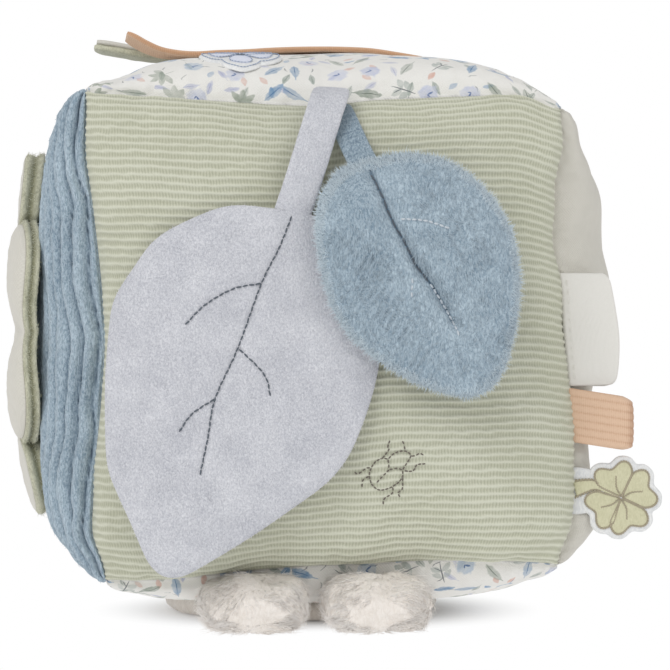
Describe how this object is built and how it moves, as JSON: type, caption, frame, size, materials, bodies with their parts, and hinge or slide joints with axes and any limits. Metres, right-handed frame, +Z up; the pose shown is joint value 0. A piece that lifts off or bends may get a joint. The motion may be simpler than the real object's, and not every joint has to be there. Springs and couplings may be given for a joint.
{
  "type": "soft fabric activity block",
  "caption": "Stuffed fabric cube for a baby, with crowned panels, hanging leaf flaps, a layered clover flap, seam tags and ribbons, a rattle inside and a plush pad below.",
  "frame": {"origin": "on the plush pad's flat lower face, straight below the block's centre", "axes": "+Z up, the ribbed front panel faces -Y, the clover panel faces -X"},
  "size_m": [0.1812, 0.1739, 0.1692],
  "materials": {
    "sage_rib_knit": "sage ribbed knit cotton",
    "blue_plush": "dusty blue short plush",
    "pale_cotton": "pale sage plain cotton",
    "floral_cotton": "off-white cotton with a small leaf and flower print",
    "lavender_velour": "lavender-grey velour",
    "sage_velour": "sage velour",
    "cream_cotton": "cream plain cotton",
    "white_plush": "white long-pile plush",
    "white_satin": "cream woven satin label, bare",
    "peach_ribbon": "peach grosgrain ribbon",
    "clover_felt": "embroidered felt, pale green on white",
    "white_felt": "embroidered felt, white with a blue-grey edge",
    "filling": "white polyester fibre filling",
    "film": "thin crinkle film",
    "rattle_plastic": "white moulded plastic",
    "steel": "plain steel pellet"
  },
  "bodies": {
    "block": {"front_panel": "sage_rib_knit", "back_panel": "sage_rib_knit", "left_panel": "blue_plush", "right_panel": "pale_cotton", "top_panel": "floral_cotton", "bottom_panel": "floral_cotton", "filling_upper": "filling", "filling_lower": "filling", "rattle_cup_upper": "rattle_plastic", "rattle_cup_lower": "rattle_plastic", "clover_hub": "cream_cotton", "base_pad": "white_plush"},
    "rattle_pellet": {"rattle_pellet": "steel"},
    "large_leaf": {"large_leaf_front": "lavender_velour", "large_leaf_back": "lavender_velour", "large_leaf_crinkle_film": "film", "large_leaf_strap": "lavender_velour", "small_leaf_strap_upper": "blue_plush"},
    "small_leaf": {"small_leaf_front": "blue_plush", "small_leaf_back": "blue_plush", "small_leaf_wadding": "filling", "small_leaf_strap_lower": "blue_plush"},
    "clover_petal_up": {"clover_petal_up_outer": "cream_cotton", "clover_petal_up_backing": "sage_velour"},
    "clover_petal_down": {"clover_petal_down_outer": "cream_cotton", "clover_petal_down_backing": "sage_velour"},
    "clover_petal_front": {"clover_petal_front_outer": "cream_cotton", "clover_petal_front_backing": "sage_velour"},
    "clover_petal_back": {"clover_petal_back_outer": "cream_cotton", "clover_petal_back_backing": "sage_velour"},
    "side_label": {"side_label": "white_satin"},
    "ribbon_loop": {"ribbon_loop": "peach_ribbon"},
    "clover_patch": {"clover_patch": "clover_felt"},
    "top_ribbon": {"top_ribbon": "peach_ribbon"},
    "top_tab": {"top_tab": "sage_velour"},
    "blossom_patch": {"blossom_patch": "white_felt"},
    "plush_tab_left": {"plush_tab_left": "white_plush"},
    "plush_tab_right": {"plush_tab_right": "white_plush"}
  },
  "joints": [
    {"name": "pellet_roll", "type": "hinge", "parent": "block", "child": "rattle_pellet", "pos_m": [0, 0, 0.082], "axis": [0, 1, 0], "continuous": true},
    {"name": "large_leaf_swing", "type": "hinge", "parent": "block", "child": "large_leaf", "pos_m": [0.0015, -0.06298, 0.14498], "axis": [-1, 0, 0], "range_deg": [0, 100]},
    {"name": "small_leaf_swing", "type": "hinge", "parent": "large_leaf", "child": "small_leaf", "pos_m": [0.0058, -0.07861, 0.13159], "axis": [-0.8805, 0, -0.4741], "range_deg": [0, 75]},
    {"name": "petal_up_fold", "type": "hinge", "parent": "block", "child": "clover_petal_up", "pos_m": [-0.08872, 0, 0.0908], "axis": [0, -1, 0], "range_deg": [0, 70], "stiffness_Nm_per_rad": 0.004},
    {"name": "petal_down_fold", "type": "hinge", "parent": "block", "child": "clover_petal_down", "pos_m": [-0.08872, 0, 0.0732], "axis": [0, 1, 0], "range_deg": [0, 70], "stiffness_Nm_per_rad": 0.004},
    {"name": "petal_front_fold", "type": "hinge", "parent": "block", "child": "clover_petal_front", "pos_m": [-0.08872, -0.0088, 0.082], "axis": [0, 0, -1], "range_deg": [0, 30], "stiffness_Nm_per_rad": 0.004},
    {"name": "petal_back_fold", "type": "hinge", "parent": "block", "child": "clover_petal_back", "pos_m": [-0.08872, 0.0088, 0.082], "axis": [0, 0, 1], "range_deg": [0, 30], "stiffness_Nm_per_rad": 0.004},
    {"name": "side_label_bend", "type": "hinge", "parent": "block", "child": "side_label", "pos_m": [0.0619, -0.0624, 0.0828], "axis": [0, 0, 1], "range_deg": [-85, 6], "stiffness_Nm_per_rad": 0.001},
    {"name": "ribbon_loop_bend", "type": "hinge", "parent": "block", "child": "ribbon_loop", "pos_m": [0.06236, -0.06326, 0.0585], "axis": [0, 0, 1], "range_deg": [-50, 2], "stiffness_Nm_per_rad": 0.001},
    {"name": "clover_patch_bend", "type": "hinge", "parent": "block", "child": "clover_patch", "pos_m": [0.06362, -0.06432, 0.0364], "axis": [0, 0, 1], "range_deg": [-65, 6], "stiffness_Nm_per_rad": 0.001},
    {"name": "top_ribbon_lift", "type": "hinge", "parent": "block", "child": "top_ribbon", "pos_m": [0.029, -0.0065, 0.16274], "axis": [0, 1, 0], "range_deg": [0, 100]},
    {"name": "top_tab_lift", "type": "hinge", "parent": "block", "child": "top_tab", "pos_m": [-0.037, 0.01, 0.16275], "axis": [0, 1, 0], "range_deg": [0, 80]},
    {"name": "blossom_lift", "type": "hinge", "parent": "block", "child": "blossom_patch", "pos_m": [-0.0238, -0.023, 0.16429], "axis": [-1, 0, 0], "range_deg": [0, 100]},
    {"name": "plush_tab_left_drop", "type": "hinge", "parent": "block", "child": "plush_tab_left", "pos_m": [-0.0225, -0.04032, 0.0005], "axis": [1, 0, 0], "range_deg": [0, 70], "stiffness_Nm_per_rad": 0.004},
    {"name": "plush_tab_right_drop", "type": "hinge", "parent": "block", "child": "plush_tab_right", "pos_m": [0.0125, -0.04032, 0.0005], "axis": [1, 0, 0], "range_deg": [0, 70], "stiffness_Nm_per_rad": 0.004}
  ]
}
